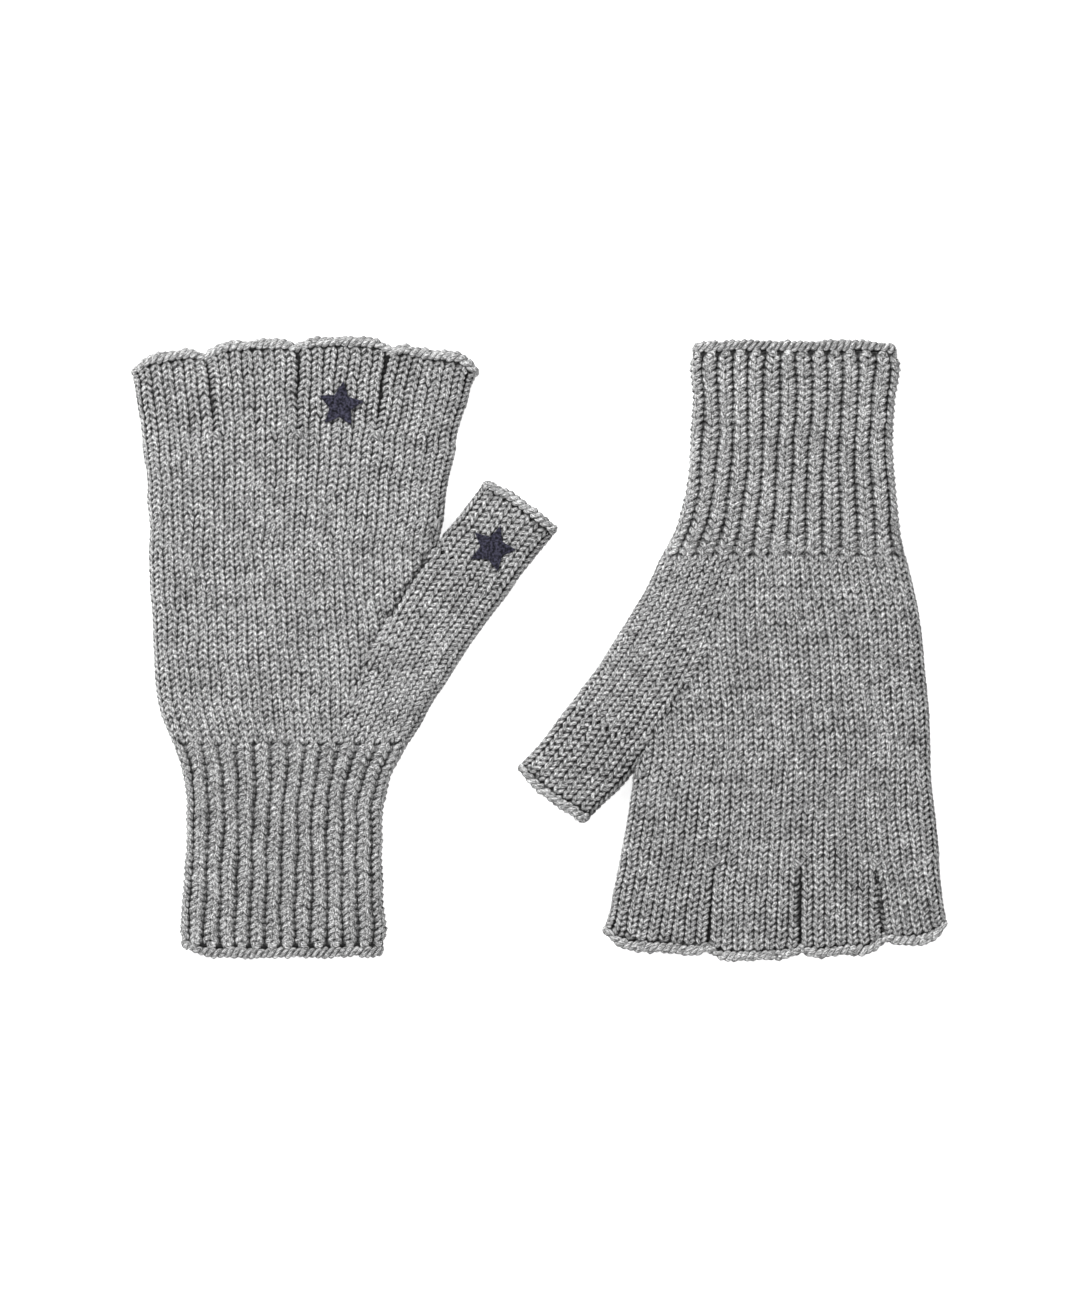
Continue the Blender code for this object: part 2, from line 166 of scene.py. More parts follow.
class Tube:
    """A flattened tube through (left, right) stations, with its length measured by knots.
    A round side has a corner radius of FOLD; a side pressed against a neighbour has less, and gets
    painted shade."""

    def __init__(self, knots, lefts, rights, warp=None, corners=(FOLD, FOLD)):
        self.knots, self.lefts, self.rights, self.warp = knots, lefts, rights, warp
        self.corners = corners
        # groove: where painted shade darkens the knit under a rim
        self.groove = None     # height of the groove under a rim, if there is one

    def sides(self, c):
        return spline(c, self.knots, self.lefts), spline(c, self.knots, self.rights)

    def fold(self, corner):
        """Length of the yarn's surface from the middle of a side to the start of the flat."""
        return FOLD - corner + math.pi / 2 * corner

    def half(self, c):
        """Half of the way round the tube, along the yarn's middle surface."""
        left, right = self.sides(c)
        near, far = self.corners
        flat = np.linalg.norm(right - left, axis=1) - 2 * INSET - near - far
        return flat + self.fold(near) + self.fold(far)

    def shadow(self, c, share):
        """Painted shade, as an amount taken off the tone level: on a side pressed against a
        neighbour, strongest at the mouth, and in the groove under a rim."""
        share = np.abs((share + 1) % 2 - 1)
        run = share * self.half(c)
        back = (1 - share) * self.half(c)
        near, far = self.corners
        dark = np.zeros(len(run))
        for distance, corner in ((run, near), (back, far)):
            if corner < FOLD:
                dark += 0.9 * np.clip((self.fold(corner) - 0.2 - distance) / 0.4, 0, 1)
        dark *= np.clip(0.1 + c / 14.0, 0, 1)
        if self.groove:
            dark += 0.40 * np.exp(-((c - self.groove) / 0.8) ** 2)
        return dark

    def place(self, c, share, lift):
        """Points and outward normals; share runs -1..1 from the right fold under to the left
        fold (0) and over the top back to the right fold."""
        left, right = self.sides(c)
        span = right - left
        wide = np.linalg.norm(span, axis=1)
        direction = span / wide[:, None]
        near, far = self.corners
        flat = wide - 2 * INSET - near - far
        share = (share + 1) % 2 - 1
        half = flat + self.fold(near) + self.fold(far)
        run = np.abs(share) * half
        back = half - run
        turn = np.clip((run - FOLD + near) / near, 0, math.pi / 2)
        turn_far = np.clip((back - FOLD + far) / far, 0, math.pi / 2)
        on_flat = np.clip(run - self.fold(near), 0, flat)
        first = run < half / 2
        out = np.where(first, -np.cos(turn), np.cos(turn_far))
        up = np.where(first, np.sin(turn), np.sin(turn_far))
        corner = np.where(first, near, far)
        centre_x = np.where(first & (on_flat <= 0), INSET + near,
                            np.where(back < self.fold(far), wide - INSET - far,
                                     INSET + near + on_flat))
        centre_z = np.where(first, np.minimum(run, FOLD - near), np.minimum(back, FOLD - far))
        along = centre_x + (corner + lift) * out
        over = centre_z + (corner + lift) * up
        under = np.where(share < 0, -1, 1)
        points = np.column_stack((left + direction * along[:, None], MIDDLE + over * under))
        normals = np.column_stack((direction * out[:, None], up * under))
        if self.warp:
            points = self.warp(points, c, np.minimum(along, wide - along), along < wide / 2)
        return points, normals


def wave_set(seed, count=7):
    """Random plane waves for gentle unevenness: (wave vector, phase)."""
    rng = np.random.default_rng(seed)
    lengths = rng.uniform(11, 42, count)
    turns = rng.uniform(0, math.pi, count)
    vectors = 2 * math.pi / lengths[:, None] * np.column_stack((np.cos(turns), np.sin(turns)))
    return vectors, rng.uniform(0, 2 * math.pi, count)


def ripple(points, waves):
    vectors, phases = waves
    return np.sin(points[:, :2] @ vectors.T + phases).mean(axis=1) * 1.8


def join_distance(points):
    """Distance from the thumb join, positive on the gusset's side."""
    square_to_join = 0.87      # cosine of the join's lean
    return (points[:, 0] - np.interp(points[:, 1], JOIN_V, JOIN_U)) * square_to_join


def crease(points, side):
    """How clearly the thumb join shows, in relief and painted shade: not at all near the wrist,
    most near the crotch.
    """
    return np.clip((points[:, 1] - 84.0) / 16.0, 0, 1) * {"left": 1.0, "right": 0.45}[side]


def settle(points, side):
    """Small unevenness of hand-laid knit, the same for every piece of one glove."""
    waves = WAVES[side]
    top = np.clip((points[:, 2] - 3.0) / 4.0, 0, 1)
    moved = points.copy()
    moved[:, 0] += 0.35 * ripple(points, waves[0])
    moved[:, 1] += 0.35 * ripple(points, waves[1])
    moved[:, 2] += 0.28 * ripple(points, waves[2]) * top
    return moved


WAVES = {"left": [wave_set(k) for k in (11, 12, 13)], "right": [wave_set(k) for k in (21, 22, 23)]}


# ---------------------------------------------------------------- meshes

def add_object(name, data):
    added = bpy.data.objects.new(name, data)
    bpy.context.scene.collection.objects.link(added)
    return added


class Mesh:
    """Collects closed yarn tubes and shells, all of quads, into one object."""

    def __init__(self, side, seed):
        self.side = side
        self.rng = np.random.default_rng(seed)
        # Each point's level is its painted shade, written as the 'height' attribute.
        self.points, self.yarn, self.level, self.quads, self.slots = [], [], [], [], []
        self.count = 0

    def put(self, points, yarn, level, quads, slot):
        self.points.append(points)
        self.yarn.append(yarn)
        self.level.append(level)
        self.quads.append(quads + self.count)
        self.slots.append(np.full(len(quads), slot))
        self.count += len(points)

    def strand(self, path, normals, level, closed, wide=YARN_WIDE, tall=YARN_TALL, core=None):
        """A yarn along a path, flattened a little against the surface, closed or capped. Its
        painted shade follows the level, lighter on its upper side; given the level of its core,
        the inner side is painted like the outer one."""
        n = len(path)
        if closed:
            tangent = np.roll(path, -1, axis=0) - np.roll(path, 1, axis=0)
        else:
            tangent = np.gradient(path, axis=0)
        tangent /= np.linalg.norm(tangent, axis=1)[:, None] + 1e-9
        across = np.cross(tangent, normals)
        across /= np.linalg.norm(across, axis=1)[:, None] + 1e-9
        outward = np.cross(across, tangent)
        angle = 2 * math.pi * np.arange(AROUND) / AROUND
        knots = np.arange(0, n, 5)
        fat = np.interp(np.arange(n), knots, 1 + 0.09 * self.rng.standard_normal(len(knots)))
        if closed:
            fat[-5:] = np.linspace(fat[-5], fat[0], 5)
        else:
            fat[0] *= 0.55
            fat[-1] *= 0.55
        wide = np.broadcast_to(wide, n) * fat
        tall = np.broadcast_to(tall, n) * fat
        ring = (path[:, None, :]
                + across[:, None, :] * (wide[:, None] * np.cos(angle))[..., None]
                + outward[:, None, :] * (tall[:, None] * np.sin(angle))[..., None])
        gone = np.concatenate(([0], np.cumsum(np.linalg.norm(np.diff(path, axis=0), axis=1))))
        start = self.rng.uniform(0, 500)
        aside = self.rng.uniform(0, 40)
        spin = angle[None, :] + gone[:, None] * (2 * math.pi / TWIST)
        yarn = np.stack((np.broadcast_to(gone[:, None] + start, (n, AROUND)),
                         0.7 * np.cos(spin) + aside, 0.7 * np.sin(spin)), axis=-1)
        i = np.arange(n if closed else n - 1)[:, None]
        k = np.arange(AROUND)[None, :]
        ahead, turn = (i + 1) % n, (k + 1) % AROUND
        quads = np.stack((i * AROUND + k, ahead * AROUND + k, ahead * AROUND + turn,
                          i * AROUND + turn), axis=-1).reshape(-1, 4)
        if not closed:
            last = (n - 1) * AROUND
            caps = np.array(((0, 1, 2, 3), (0, 3, 4, 5),
                             (last + 3, last + 2, last + 1, last),
                             (last + 5, last + 4, last + 3, last)))
            quads = np.vstack((quads, caps))
        # Painted shade: the yarn's upper side gets a higher level, so a lighter tone, its lower
        # side a darker one.
        height = level[:, None] + tall[:, None] * np.sin(angle)
        if core is not None:
            height = np.where(np.sin(angle) < -0.1, 2 * core - height, height)
        self.put(ring.reshape(-1, 3), yarn.reshape(-1, 3), height.ravel(), quads, YARN)

    def runs(self, path, normals, level, keep, closed=True, **size):
        """The parts of a path where keep is true, each as its own strand."""
        if keep is None or keep.all():
            self.strand(path, normals, level, closed, **size)
            return
        if not keep.any():
            return
        shift = int(np.argmin(keep)) if closed else 0
        path, normals, level, keep = (np.roll(a, -shift, axis=0)
                                      for a in (path, normals, level, keep))
        edges = np.flatnonzero(np.diff(np.concatenate(([0], keep.astype(int), [0]))))
        for first, last in zip(edges[::2], edges[1::2]):
            if last - first >= 5:
                self.strand(path[first:last], normals[first:last], level[first:last],
                            False, **size)

    def shell(self, tube, c, low=-1.0, high=1.0, lift=-0.95, wall=0.5, ring=48):
        """A thin closed lining. The shares of the ring that it spans, low and high, and the lift
        of its outer side are each one number or one for each c."""
        low, high, lift = (np.broadcast_to(value, len(c)) for value in (low, high, lift))
        lift = np.repeat(lift, ring)
        shares = low[:, None] + (high - low)[:, None] * np.linspace(0, 1, ring)[None, :]
        grid = np.broadcast_to(c[:, None], shares.shape).ravel()
        sheets = []
        for depth in (lift, lift - wall):
            points, _ = tube.place(grid, shares.ravel(), depth)
            sheets.append(points)
        points = settle(np.vstack(sheets), self.side)
        rows, size = len(c), len(c) * ring
        a = (np.arange(rows - 1)[:, None] * ring + np.arange(ring - 1)[None, :]).ravel()
        outer = np.stack((a, a + 1, a + ring + 1, a + ring), axis=-1)
        inner = outer[:, ::-1] + size
        ends = []
        row, column = np.arange(ring), np.arange(rows) * ring
        for line, flip in ((row, False), (row + (rows - 1) * ring, True),
                           (column, True), (column + ring - 1, False)):
            strip = np.stack((line[:-1], line[:-1] + size, line[1:] + size, line[1:]), axis=-1)
            ends.append(strip[:, ::-1] if flip else strip)
        self.put(points, points, np.zeros(len(points)), np.vstack([outer, inner, *ends]), LINING)

    def build(self, name, materials):
        points = to_world(np.vstack(self.points), self.side)
        quads = np.vstack(self.quads).astype(np.int32)
        mesh = bpy.data.meshes.new(name)
        mesh.vertices.add(len(points))
        mesh.vertices.foreach_set("co", points.astype(np.float32).ravel())
        mesh.loops.add(quads.size)
        mesh.loops.foreach_set("vertex_index", quads.ravel())
        mesh.polygons.add(len(quads))
        mesh.polygons.foreach_set("loop_start", np.arange(0, quads.size, 4, dtype=np.int32))
        mesh.polygons.foreach_set("material_index", np.concatenate(self.slots).astype(np.int32))
        mesh.update(calc_edges=True)
        mesh.shade_smooth()
        yarn = mesh.attributes.new("yarn", "FLOAT_VECTOR", "POINT")
        yarn.data.foreach_set("vector", np.vstack(self.yarn).astype(np.float32).ravel())
        # The 'height' attribute is painted shade: the wool's colour is darker where it is low.
        height = mesh.attributes.new("height", "FLOAT", "POINT")
        height.data.foreach_set("value", np.concatenate(self.level).astype(np.float32))
        for material in materials:
            mesh.materials.append(material)
        return add_object(name, mesh)


def origin(side):
    """The middle of a glove's cuff edge on the table, in metres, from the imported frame."""
    low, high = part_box(f"{side}_cuff_edge")
    return np.array(((low.x + high.x) / 2, low.y if side == "left" else high.y))


def to_world(points, side):
    """Glove millimetres to frame metres; the right glove is turned end for end."""
    facing = 1.0 if side == "left" else -1.0
    flat = origin(side) + facing * points[:, :2] * MM
    return np.column_stack((flat, points[:, 2] * MM))


# ---------------------------------------------------------------- knitting

def wander(rng, amount, at, knots, overlap=0, base=0.0):
    """Random unevenness along a round, eased between knots; an overlap closes the round."""
    path = np.interp(at, knots, base + rng.normal(0, amount, len(knots)))
    if overlap:
        path[-overlap:] = np.linspace(path[-overlap], path[0], overlap)
    return path


def plain_stitch(t):
    """Rise in courses, lean in wales and lift in mm along plain stitches counted by t."""
    angle = 2 * math.pi * t
    return (REACH * np.cos(angle), SLANT * np.sin(2 * angle) + DRAW * np.sin(angle),
            -DEPTH * np.cos(2 * angle))


def jersey(mesh, tube, rows, spacing, wales, seed, phase=0.0, keep=None, relief=None):
    """Plain knit: one closed round of loops for each row, legs meeting towards +v. The phase
    shifts the wales sideways, by one amount or by one for each row."""
    rng = np.random.default_rng(seed)
    phases = np.broadcast_to(phase, len(rows))
    t = np.arange(wales * STITCH_STEPS) / STITCH_STEPS
    knots = np.arange(wales + 1)
    rise, lean, lift = plain_stitch(t)
    for c0, sideways in zip(rows, phases):
        shift, drift = (wander(rng, amount, t, knots, STITCH_STEPS) for amount in UNEVEN)
        wale = t + lean + drift + sideways - wales // 4
        knit_round(mesh, tube, c0 + spacing * (rise + shift), 2 * wale / wales, lift, keep, relief)


def knit_round(mesh, tube, c, share, lift, keep=None, relief=None, closed=True, level=None,
               **size):
    """One strand laid on the tube along c and share, where keep is true, raised by relief. The
    level sets its painted shade, and follows the lift where it isn't given."""
    path, normals = tube.place(c, share, lift)
    wanted = keep(path) if keep else None
    # Painted shade: the level follows the lift, less the tube's painted shadow.
    if level is None:
        level = lift - tube.shadow(c, share)
    if relief:
        rise = relief(path)
        path = path + normals * rise[:, None]
        # Painted shade: sunk relief is painted darker, raised relief lighter.
        level = level + 0.6 * rise
    mesh.runs(settle(path, mesh.side), normals, level, wanted, closed, **size)


def rib(mesh, tube, rows, spacing, seed):
    """One wide raised knit wale and one narrow sunk purl wale in every rib; the last rows
    level out to meet the plain knit."""
    rng = np.random.default_rng(seed)
    knit, purl = np.arange(10) / 10, np.arange(5) / 5
    cell = np.concatenate((RIB_SHARE * (knit + 0.31 * np.sin(4 * math.pi * knit)),
                           RIB_SHARE + (1 - RIB_SHARE) * purl))
    x = (np.arange(RIBS)[:, None] + cell[None, :]).ravel()
    angle = np.tile(2 * math.pi * np.concatenate((knit, purl)), RIBS)
    ridge = np.cos(2 * math.pi * (x - RIB_SHARE / 2))
    face = np.where(x % 1 > RIB_SHARE, -0.5, np.clip(2 * (ridge + 0.84), -0.3, 1))
    relief = -0.60 * face * np.cos(2 * angle)
    sunk = -0.55 * (1 - ridge)
    knots = np.arange(RIBS + 1)
    sways = rng.uniform(0, 2 * math.pi, (2, RIBS))[:, knots % RIBS]
    for c0 in rows:
        base = sunk * np.clip((rows[-1] + 1.5 * spacing - c0) / (4 * spacing), 0, 1)
        shift = wander(rng, 0.06, x, knots, 8)
        sway = 0.045 * np.sin(c0 / 9.0 + sways[0]) + 0.030 * np.sin(c0 / 4.2 + sways[1])
        drift = wander(rng, 0.02, x, knots, 8, base=sway)
        c = c0 + spacing * (0.84 * np.cos(angle) + shift)
        # Painted shade: sunk purl wales and the low parts of loops get a lower level, so a darker
        # tone.
        knit_round(mesh, tube, c, 2 * (x + drift - RIBS // 4) / RIBS, base + relief,
                   level=0.24 + 0.36 * base + relief, wide=0.86, tall=0.66)


def rope_edge(mesh, tube, c0, height, rise, pitch, wide, tone):
    """A rolled edge: two uneven strands wound round a core, as slanting loops along the rim."""
    around = float(2 * tube.half(np.array([c0]))[0])
    turns = round(around / pitch)
    count = turns * KNOT_STEPS
    t = np.arange(count) / count
    share = 2 * t - 0.5
    for strand in (0, math.pi):
        angle = strand - 2 * math.pi * turns * t
        knots = np.arange(2 * turns + 1) / (2 * turns)
        size = 1 + 0.20 * mesh.rng.uniform(-1, 1, len(knots))
        shift = 0.30 * mesh.rng.uniform(-1, 1, len(knots))
        size[-1], shift[-1] = size[0], shift[0]
        size, shift = np.interp(t, knots, size), np.interp(t, knots, shift)
        # Painted shade: each loop is lighter where it winds over and darker where it winds under;
        # the tone sets the rim's level.
        knit_round(mesh, tube, c0 + shift + height * size * np.cos(angle), share,
                   rise * size * np.sin(angle), level=tone + 0.38 * np.sin(angle),
                   wide=wide * size, tall=0.62, core=tone)
    # A core under the loops, with a dark painted shade.
    knit_round(mesh, tube, np.full(count, c0), share, np.full(count, -0.15),
               level=np.full(count, 0.3), wide=0.62, tall=0.5, core=0.3)


def bump_row(mesh, tube, c0):
    """The knots of the cast-on row: one round bump at the foot of each rib."""
    x = np.arange(RIBS * KNOT_STEPS) / KNOT_STEPS
    ridge = np.cos(2 * math.pi * (x - RIB_SHARE / 2))
    # Painted shade: knots at the middle of a rib are lighter than those between ribs.
    knit_round(mesh, tube, c0 + 0.35 * np.sin(4 * math.pi * x), 2 * (x - RIBS // 4) / RIBS,
               -0.40 + 0.35 * ridge, level=0.20 + 0.4 * ridge,
               wide=0.95 + 0.35 * ridge, tall=0.62 + 0.12 * ridge, core=0.3)


# ---------------------------------------------------------------- materials

def textile(name, roughness, specular=0.5, sheen=0.0):
    """A new material: itself, its nodes, its links and its shader."""
    material = bpy.data.materials.new(name)
    material.use_nodes = True
    nodes, links = material.node_tree.nodes, material.node_tree.links
    shader = nodes["Principled BSDF"]
    shader.inputs["Roughness"].default_value = roughness
    shader.inputs["Specular IOR Level"].default_value = specular
    shader.inputs["Sheen Weight"].default_value = sheen
    return material, nodes, links, shader


def add_node(nodes, kind, **inputs):
    """A node with values on its inputs; an underscore stands for a space in an input's name."""
    node = nodes.new(f"ShaderNode{kind}")
    for name, value in inputs.items():
        node.inputs[name.replace("_", " ")].default_value = value
    return node


def add_texture(nodes, links, kind, **inputs):
    """A texture in object coordinates."""
    texture = add_node(nodes, kind, **inputs)
    where = add_node(nodes, "TexCoord")
    links.new(where.outputs["Object"], texture.inputs["Vector"])
    return texture


def add_attribute(nodes, name):
    node = add_node(nodes, "Attribute")
    node.attribute_name = name
    return node


def add_ramp(nodes, links, source, first, last, *between):
    """Colours along a source's factor; each stop is (position, colour)."""
    node = add_node(nodes, "ValToRGB")
    links.new(source.outputs["Fac"], node.inputs["Fac"])
    stops = node.color_ramp.elements
    for stop, (position, colour) in zip(stops, (first, last)):
        stop.position = position
        stop.color = (*colour, 1)
    for position, colour in between:
        stops.new(position).color = (*colour, 1)
    return node


def add_range(nodes, links, source, low, high, to_low, to_high):
    """The source's factor, eased from one range to another."""
    node = add_node(nodes, "MapRange", From_Min=low, From_Max=high, To_Min=to_low, To_Max=to_high)
    node.interpolation_type = "SMOOTHSTEP"
    links.new(source.outputs["Fac"], node.inputs["Value"])
    return node


def add_bump(nodes, links, source, shader, strength, distance):
    bump = add_node(nodes, "Bump", Strength=strength, Distance=distance)
    links.new(source.outputs["Fac"], bump.inputs["Height"])
    links.new(bump.outputs["Normal"], shader.inputs["Normal"])


def grey(value):
    return value, value, value


def wool(name, light, mid, dark):
    """Heather wool: pale and dark fibres along a twisted yarn, with soft larger patches, and
    painted shade from the 'height' attribute, darkest between the stitches and in creases and
    slits."""
    material, nodes, links, shader = textile(name, 0.92, specular=0.25, sheen=0.25)
    stretch = add_node(nodes, "Mapping", Scale=(0.9, 3.8, 3.8))
    links.new(add_attribute(nodes, "yarn").outputs["Vector"], stretch.inputs["Vector"])
    fibres = add_node(nodes, "TexNoise", Scale=1.0, Detail=4.0, Roughness=0.7)
    links.new(stretch.outputs["Vector"], fibres.inputs["Vector"])
    colour = add_ramp(nodes, links, fibres, (0.40, grey(dark)), (0.60, grey(light)),
                      (0.50, grey(mid)))

    patches = add_texture(nodes, links, "TexNoise", Scale=90.0, Detail=3.0)
    tone = add_range(nodes, links, patches, 0.3, 0.7, 0.90, 1.10)
    # Painted shade: the 'height' level, low in the gaps between stitches, creases, slits and
    # grooves, darkens the colour towards black.
    painted_shade = add_range(nodes, links, add_attribute(nodes, "height"), 0.26, 1.08, 0.03, 1.05)
    both = add_node(nodes, "Math")
    both.operation = "MULTIPLY"
    links.new(tone.outputs["Result"], both.inputs[0])
    links.new(painted_shade.outputs["Result"], both.inputs[1])
    shade = add_node(nodes, "VectorMath")
    shade.operation = "SCALE"
    links.new(colour.outputs["Color"], shade.inputs[0])
    links.new(both.outputs["Value"], shade.inputs["Scale"])
    links.new(shade.outputs["Vector"], shader.inputs["Base Color"])
    add_bump(nodes, links, fibres, shader, 0.6, 0.0004)
    return material


def lining(name, level):
    """The purl side seen through the mouths and between the stitches, in soft darker rows; its
    dark grey is partly painted shade.
    """
    material, nodes, links, shader = textile(name, 0.95)
    rows = add_texture(nodes, links, "TexWave", Scale=165.0, Distortion=3.0, Detail=3.0,
                       Detail_Scale=2.0)
    rows.bands_direction = "Y"
    colour = add_ramp(nodes, links, rows, (0.0, grey(0.55 * level)), (1.0, grey(1.25 * level)))
    links.new(colour.outputs["Color"], shader.inputs["Base Color"])
    add_bump(nodes, links, rows, shader, 0.7, 0.0006)
    return material


def felt(name):
    """Dark navy felt with matted lighter fibres."""
    material, nodes, links, shader = textile(name, 0.95, specular=0.2, sheen=0.15)
    fibres = add_texture(nodes, links, "TexNoise", Scale=1250.0, Detail=5.0, Roughness=0.7)
    colour = add_ramp(nodes, links, fibres, (0.43, (0.004, 0.004, 0.008)),
                      (0.59, (0.062, 0.060, 0.095)))
    links.new(colour.outputs["Color"], shader.inputs["Base Color"])
    add_bump(nodes, links, fibres, shader, 0.8, 0.0003)
    return material


# ---------------------------------------------------------------- the gloves

def slit_lean(slit):
    return (slit[1] - slit[0]) / (FINGER_TOP - HAND_TOP)


def slit_u(slit, v):
    return slit[0] + slit_lean(slit) * (v - HAND_TOP)


def finger_hinge(side, index):
    """Where a finger's hinge line starts on the knuckle line, and its slope: square to the slit
    on an outer finger, else level."""
    slits = SLITS[side]
    slope = {0: -slit_lean(slits[0]), 3: -slit_lean(slits[2])}.get(index, 0.0)
    return slits[min(index, 2)][0], slope


def knuckle_drop(side):
    """The hand's top rows slope down towards the outer fingers, to meet their hinge lines."""
    slits = SLITS[side]
    start = 128.0

    def warp(points, c, inside, on_left):
        u, v = points[:, 0], points[:, 1]
        grow = np.clip((v - start) / (HAND_TOP - start), 0, 1) ** 2
        drop = (-slit_lean(slits[0]) * np.minimum(u - slits[0][0], 0)
                - slit_lean(slits[2]) * np.maximum(u - slits[2][0], 0))
        moved = points.copy()
        moved[:, 1] += grow * drop
        return moved
    return warp


def sides_of(table, left, right):
    """The heights and the two chosen sides of a table."""
    rows = np.array(table)
    return rows[:, 0], rows[:, left], rows[:, right]


def hand_tube(side):
    v, left, right = sides_of(HAND_SIDES, ("left", "right").index(side) + 1, 3)
    return Tube(v, np.column_stack((left, v)), np.column_stack((right, v)), knuckle_drop(side))


def make_hand(side):
    mesh = Mesh(side, 100)
    tube = hand_tube(side)
    spacing = (HAND_TOP - HAND_FOOT) / HAND_ROWS
    rows = HAND_FOOT + spacing * (np.arange(HAND_ROWS) + 0.5)

    def keep(points):
        return ~((points[:, 1] < JOIN_TOP)
                 & (join_distance(points) > 0.9 + 0.2 * crease(points, side)))

    # The hand sinks along the join, and knit_round paints the sunk knit darker: painted shade in
    # the crease.
    def relief(points):
        away = join_distance(points)
        below = np.clip((JOIN_TOP + 3 - points[:, 1]) / 6, 0, 1)
        return -0.80 * np.exp(-((away - 0.6) / 1.9) ** 2) * below * crease(points, side)

    jersey(mesh, tube, rows, spacing, HAND_WALES, 101, keep=keep, relief=relief)
    c = np.concatenate((np.linspace(HAND_FOOT + 0.1, JOIN_TOP - 0.2, 24),
                        np.linspace(JOIN_TOP + 0.1, HAND_TOP - 0.1, 14)))
    cut = np.interp(c, JOIN_V, JOIN_U) - 0.6
    left = tube.sides(c)[0][:, 0]
    share = (cut - left - INSET - FOLD + QUARTER) / tube.half(c)
    high = np.where(c < JOIN_TOP, share, 1.0)
    mesh.shell(tube, c, -high, high, ring=64)
    return mesh


def thumb_point(along, aside):
    return CROTCH + AHEAD * along + ASIDE * aside


def gusset_tube(side):
    base = {"left": 38.8, "right": 39.8}[side]
    knots = (0.0, 17.65, 33.3, 49.15, 61.85)
    lefts = ((7.0, HAND_FOOT), (15.0, 82.5), (25.0, 99.0), thumb_point(-20, -4),
             thumb_point(THUMB_HINGE, -8))
    rights = ((base, HAND_FOOT), thumb_point(-44, 26.5), thumb_point(-32, 26.0),
              thumb_point(-20, 25.7), thumb_point(THUMB_HINGE, 25.9))
    return Tube(knots, lefts, rights)


def on_gusset(points, side):
    return ((join_distance(points) > 0.2 * crease(points, side) - 0.4)
            & (points[:, 1] < JOIN_TOP + 0.5))


def make_gusset(side):
    mesh = Mesh(side, 200)
    tube = gusset_tube(side)
    spacing = tube.knots[-1] / GUSSET_ROWS
    rng = np.random.default_rng(201)
    knots = np.arange(-GUSSET_WALES, GUSSET_WALES + 1)
    t = np.arange(2 * GUSSET_WALES * STITCH_STEPS + 1) / STITCH_STEPS - GUSSET_WALES
    rise, lean, lift = plain_stitch(t)

    def keep(points):
        return on_gusset(points, side)

    # The gusset rises along the join, and knit_round paints the raised knit lighter: painted light
    # beside the crease.
    def relief(points):
        return 0.30 * np.exp(-(join_distance(points) / 2.6) ** 2) * crease(points, side)

    for row in range(GUSSET_ROWS):
        shift, drift = (wander(rng, amount, t, knots) for amount in UNEVEN)
        c = spacing * (row + 0.5 + rise + shift)
        share = 1 + (t + lean + drift) * GUSSET_PITCH / tube.half(c)
        knit_round(mesh, tube, c, share, lift, keep, relief, closed=False)
    c = np.linspace(0.1, tube.knots[-1] - 0.1, 26)
    reach = np.empty(len(c))
    tries = np.linspace(0.05, 1.0, 200)
    for index, level in enumerate(c):
        points, _ = tube.place(np.full(len(tries), level), tries, np.zeros(len(tries)))
        reach[index] = 1 - tries[np.argmax(keep(points))]
    mesh.shell(tube, c, 1 - reach, 1 + reach, ring=40)
    return mesh


def tilt_mouth(start, end, ahead, rounding, amount):
    """Near a mouth the front layer ends lower than the back one, and the corners are round."""
    def warp(points, c, inside, on_left):
        grow = np.clip((c - start) / (end - start), 0, 1) ** 2
        corner = np.where(on_left, *rounding) * np.exp(-(inside / 3.8) ** 2)
        back = amount * (points[:, 2] - MIDDLE) / FOLD + corner
        moved = points.copy()
        moved[:, :2] -= (grow * back)[:, None] * ahead
        return moved
    return warp


def lifted_corner(side):
    """A cuff edge rises at its corners, most at the outer corner of the left glove."""
    reach = 22.0

    def warp(points, c, inside, on_left):
        grow = np.clip((reach - c) / reach, 0, 1) ** 2
        rise = np.where(on_left & (side == "left"), 2.8, 0.8) * np.exp(-(inside / 5.5) ** 2)
        moved = points.copy()
        moved[:, 1] += grow * rise
        return moved
    return warp


def make_stub(tube, stub, edge, rows, foot, first, lining_foot, wales, seed, phase=0.0):
    """Plain knit from a stub's foot to its rim, its lining, and the rim. The middle of the first
    row lies first times a course above the foot."""
    mouth = tube.knots[-1]
    top = mouth - RIM_FOOT
    # The painted shade of the groove under the rim lies at the top of the plain knit.
    tube.groove = top
    spacing = (top - foot) / rows
    jersey(stub, tube, foot + spacing * (np.arange(rows) + first), spacing, wales, seed, phase)
    stub.shell(tube, np.linspace(lining_foot, top, 14))
    rope_edge(edge, tube, mouth - RIM_MIDDLE, **MOUTH_RIM)
    return stub, edge


def make_thumb(side):
    inner, outer = THUMB_MOUTH[side]
    mouth = (inner[0] + outer[0]) / 2
    knots = (THUMB_HINGE, 0.0, 13.8)
    lefts = [thumb_point(*at) for at in (*zip(knots, THUMB_INNER[side]), inner)]
    rights = [thumb_point(*at) for at in (*zip(knots, (25.9, 26.2, 27.1)), outer)]
    tube = Tube((*knots, mouth), lefts, rights, tilt_mouth(2.0, mouth, AHEAD, (0.9, 1.3), 0.1))
    return make_stub(tube, Mesh(side, 300), Mesh(side, 310), THUMB_ROWS, THUMB_HINGE, 0.5,
                     THUMB_HINGE + 0.1, THUMB_WALES, 301)


